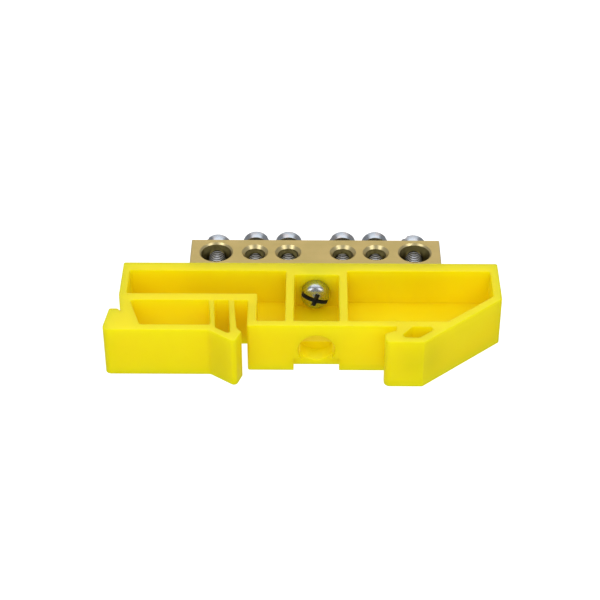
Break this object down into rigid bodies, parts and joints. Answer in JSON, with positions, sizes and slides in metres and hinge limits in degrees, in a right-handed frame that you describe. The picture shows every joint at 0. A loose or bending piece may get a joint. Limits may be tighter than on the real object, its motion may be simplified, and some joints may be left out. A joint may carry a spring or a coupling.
{
  "type": "neutral terminal bar",
  "caption": "Brass bar with wire holes and clamp screws, screwed to a moulded yellow holder that clips on a 35 mm rail with a hook and a sprung foot.",
  "frame": {"origin": "middle of the rail seat between the hook and the nose, on the side face that the part lies on", "axes": "+X along the bar towards the fixed hook, +Y from the rail seat towards the bar, +Z along the rail and the wire holes, out of the open side"},
  "size_m": [0.089, 0.0458, 0.0125],
  "materials": {
    "yellow_plastic": "satin moulding, slightly translucent",
    "bar_brass": "drawn and tumbled, matte",
    "zinc_steel": "bright zinc plating"
  },
  "bodies": {
    "holder": {"rail_holder": "yellow_plastic", "terminal_bar": "bar_brass", "fixing_screw": "zinc_steel"},
    "clamp_1": {"clamp_screw_1": "zinc_steel"},
    "clamp_2": {"clamp_screw_2": "zinc_steel"},
    "clamp_3": {"clamp_screw_3": "zinc_steel"},
    "clamp_4": {"clamp_screw_4": "zinc_steel"},
    "clamp_5": {"clamp_screw_5": "zinc_steel"},
    "clamp_6": {"clamp_screw_6": "zinc_steel"}
  },
  "joints": [
    {"name": "clamp_travel_1", "type": "slide", "parent": "holder", "child": "clamp_1", "axis": [0, 1, 0], "range_m": [0, 0.0069]},
    {"name": "clamp_travel_2", "type": "slide", "parent": "holder", "child": "clamp_2", "axis": [0, 1, 0], "range_m": [0, 0.0045]},
    {"name": "clamp_travel_3", "type": "slide", "parent": "holder", "child": "clamp_3", "axis": [0, 1, 0], "range_m": [0, 0.0045]},
    {"name": "clamp_travel_4", "type": "slide", "parent": "holder", "child": "clamp_4", "axis": [0, 1, 0], "range_m": [0, 0.0045]},
    {"name": "clamp_travel_5", "type": "slide", "parent": "holder", "child": "clamp_5", "axis": [0, 1, 0], "range_m": [0, 0.0045]},
    {"name": "clamp_travel_6", "type": "slide", "parent": "holder", "child": "clamp_6", "axis": [0, 1, 0], "range_m": [0, 0.0069]}
  ]
}
